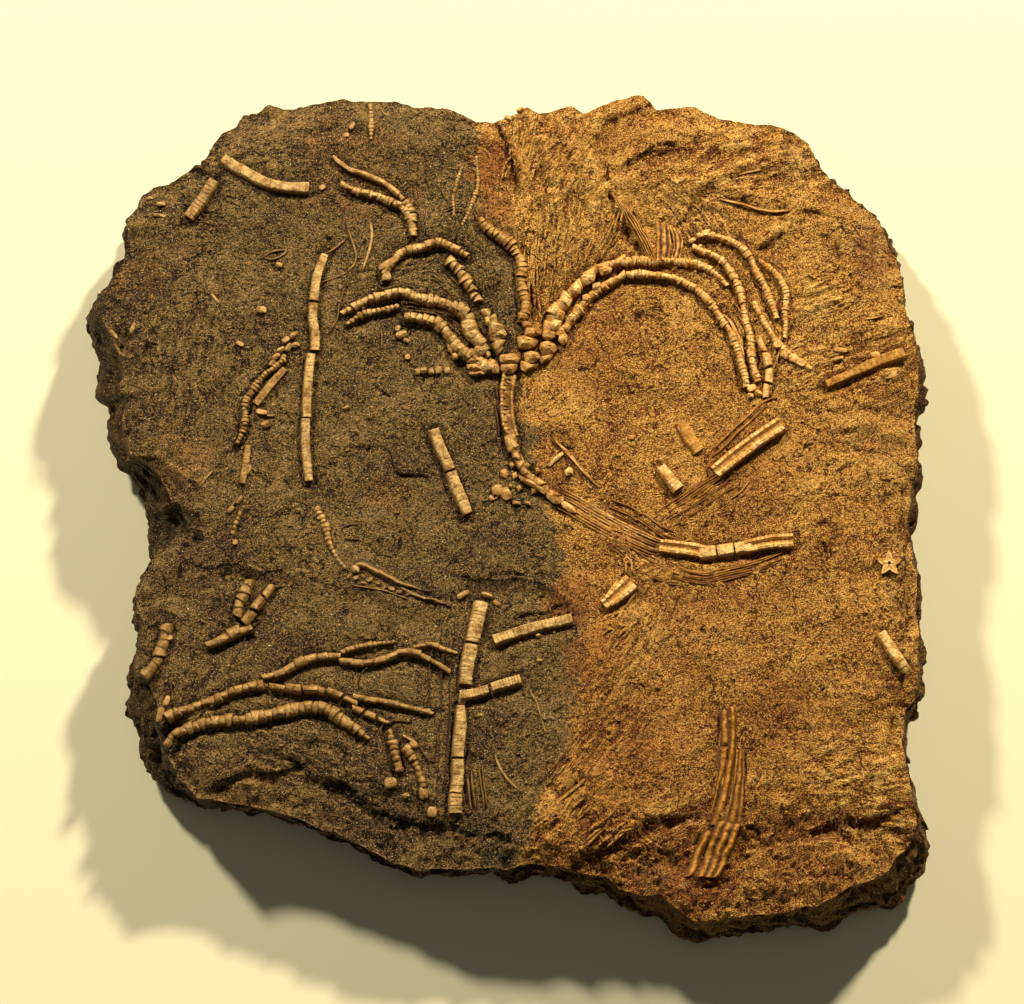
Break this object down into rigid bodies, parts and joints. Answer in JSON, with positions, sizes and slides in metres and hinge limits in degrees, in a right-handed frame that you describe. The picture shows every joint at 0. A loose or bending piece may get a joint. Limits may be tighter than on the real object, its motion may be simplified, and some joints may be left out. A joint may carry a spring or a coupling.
{
  "type": "fossil crinoid slab",
  "caption": "Slab of bedded shale with a flat back and a broken rim, its upper face carrying a fossil sea lily's crown, curved stem, branching arms and loose stem lengths.",
  "frame": {"origin": "middle of the slab's bounding box, on its flat back", "axes": "+Z out of the fossil-bearing face, +Y from the stem's lower end towards the crown's arms, +X to the right as seen from above the face"},
  "size_m": [0.3414, 0.3448, 0.0412],
  "materials": {
    "shale": "matte",
    "tan_calcite": "matte",
    "bright_calcite": "satin",
    "golden_calcite": "matte"
  },
  "bodies": {
    "root": {"matrix_slab": "shale", "cup": "bright_calcite", "stem_upper": "bright_calcite", "stem_bend": "bright_calcite", "arm_centre": "bright_calcite", "star_columnal": "bright_calcite", "arm_left_lower": "tan_calcite", "arm_left_middle": "tan_calcite", "arm_left_branch": "tan_calcite", "arm_left_stub": "tan_calcite", "arm_left_ascending": "tan_calcite", "arm_left_cross": "tan_calcite", "arm_far_thin": "tan_calcite", "arm_far_beaded": "tan_calcite", "bar_bent": "tan_calcite", "bar_rusty": "tan_calcite", "long_stem_left_upper": "tan_calcite", "long_stem_left_middle": "tan_calcite", "long_stem_left_lower": "tan_calcite", "beaded_arm_left_upper": "tan_calcite", "stem_piece_middle": "tan_calcite", "wedge_plate": "tan_calcite", "ribbed_arm_left": "tan_calcite", "smooth_arm_left": "tan_calcite", "forked_ossicle_left": "tan_calcite", "ribbed_arm_edge": "tan_calcite", "branch_arm_stem": "tan_calcite", "branch_arm_upper": "tan_calcite", "branch_arm_upper_a": "tan_calcite", "branch_arm_upper_b": "tan_calcite", "branch_arm_lower": "tan_calcite", "branch_arm_lower_a": "tan_calcite", "branch_arm_lower_b": "tan_calcite", "thick_arm": "tan_calcite", "spiral_arm": "tan_calcite", "low_stem_upper": "tan_calcite", "low_stem_lower": "tan_calcite", "crossing_bar": "tan_calcite", "short_bar": "tan_calcite", "cirri_bundle": "golden_calcite", "stem_right_near": "golden_calcite", "stem_right_middle": "golden_calcite", "stem_right_end": "golden_calcite", "brachial_right_big": "golden_calcite", "brachial_right_low": "golden_calcite", "arm_right_outer": "golden_calcite", "arm_right_inner_near": "golden_calcite", "arm_right_inner_far": "golden_calcite", "arm_tip_middle": "golden_calcite", "arm_tip_outer": "golden_calcite", "arm_tip_fold": "golden_calcite", "arm_tip_smooth": "golden_calcite", "striated_plate": "golden_calcite", "double_ridge_bar": "golden_calcite", "right_block": "golden_calcite", "bar_right_edge": "golden_calcite", "bar_right_low": "golden_calcite", "round_fragment": "golden_calcite", "long_stem_right": "golden_calcite"}
  },
  "joints": []
}
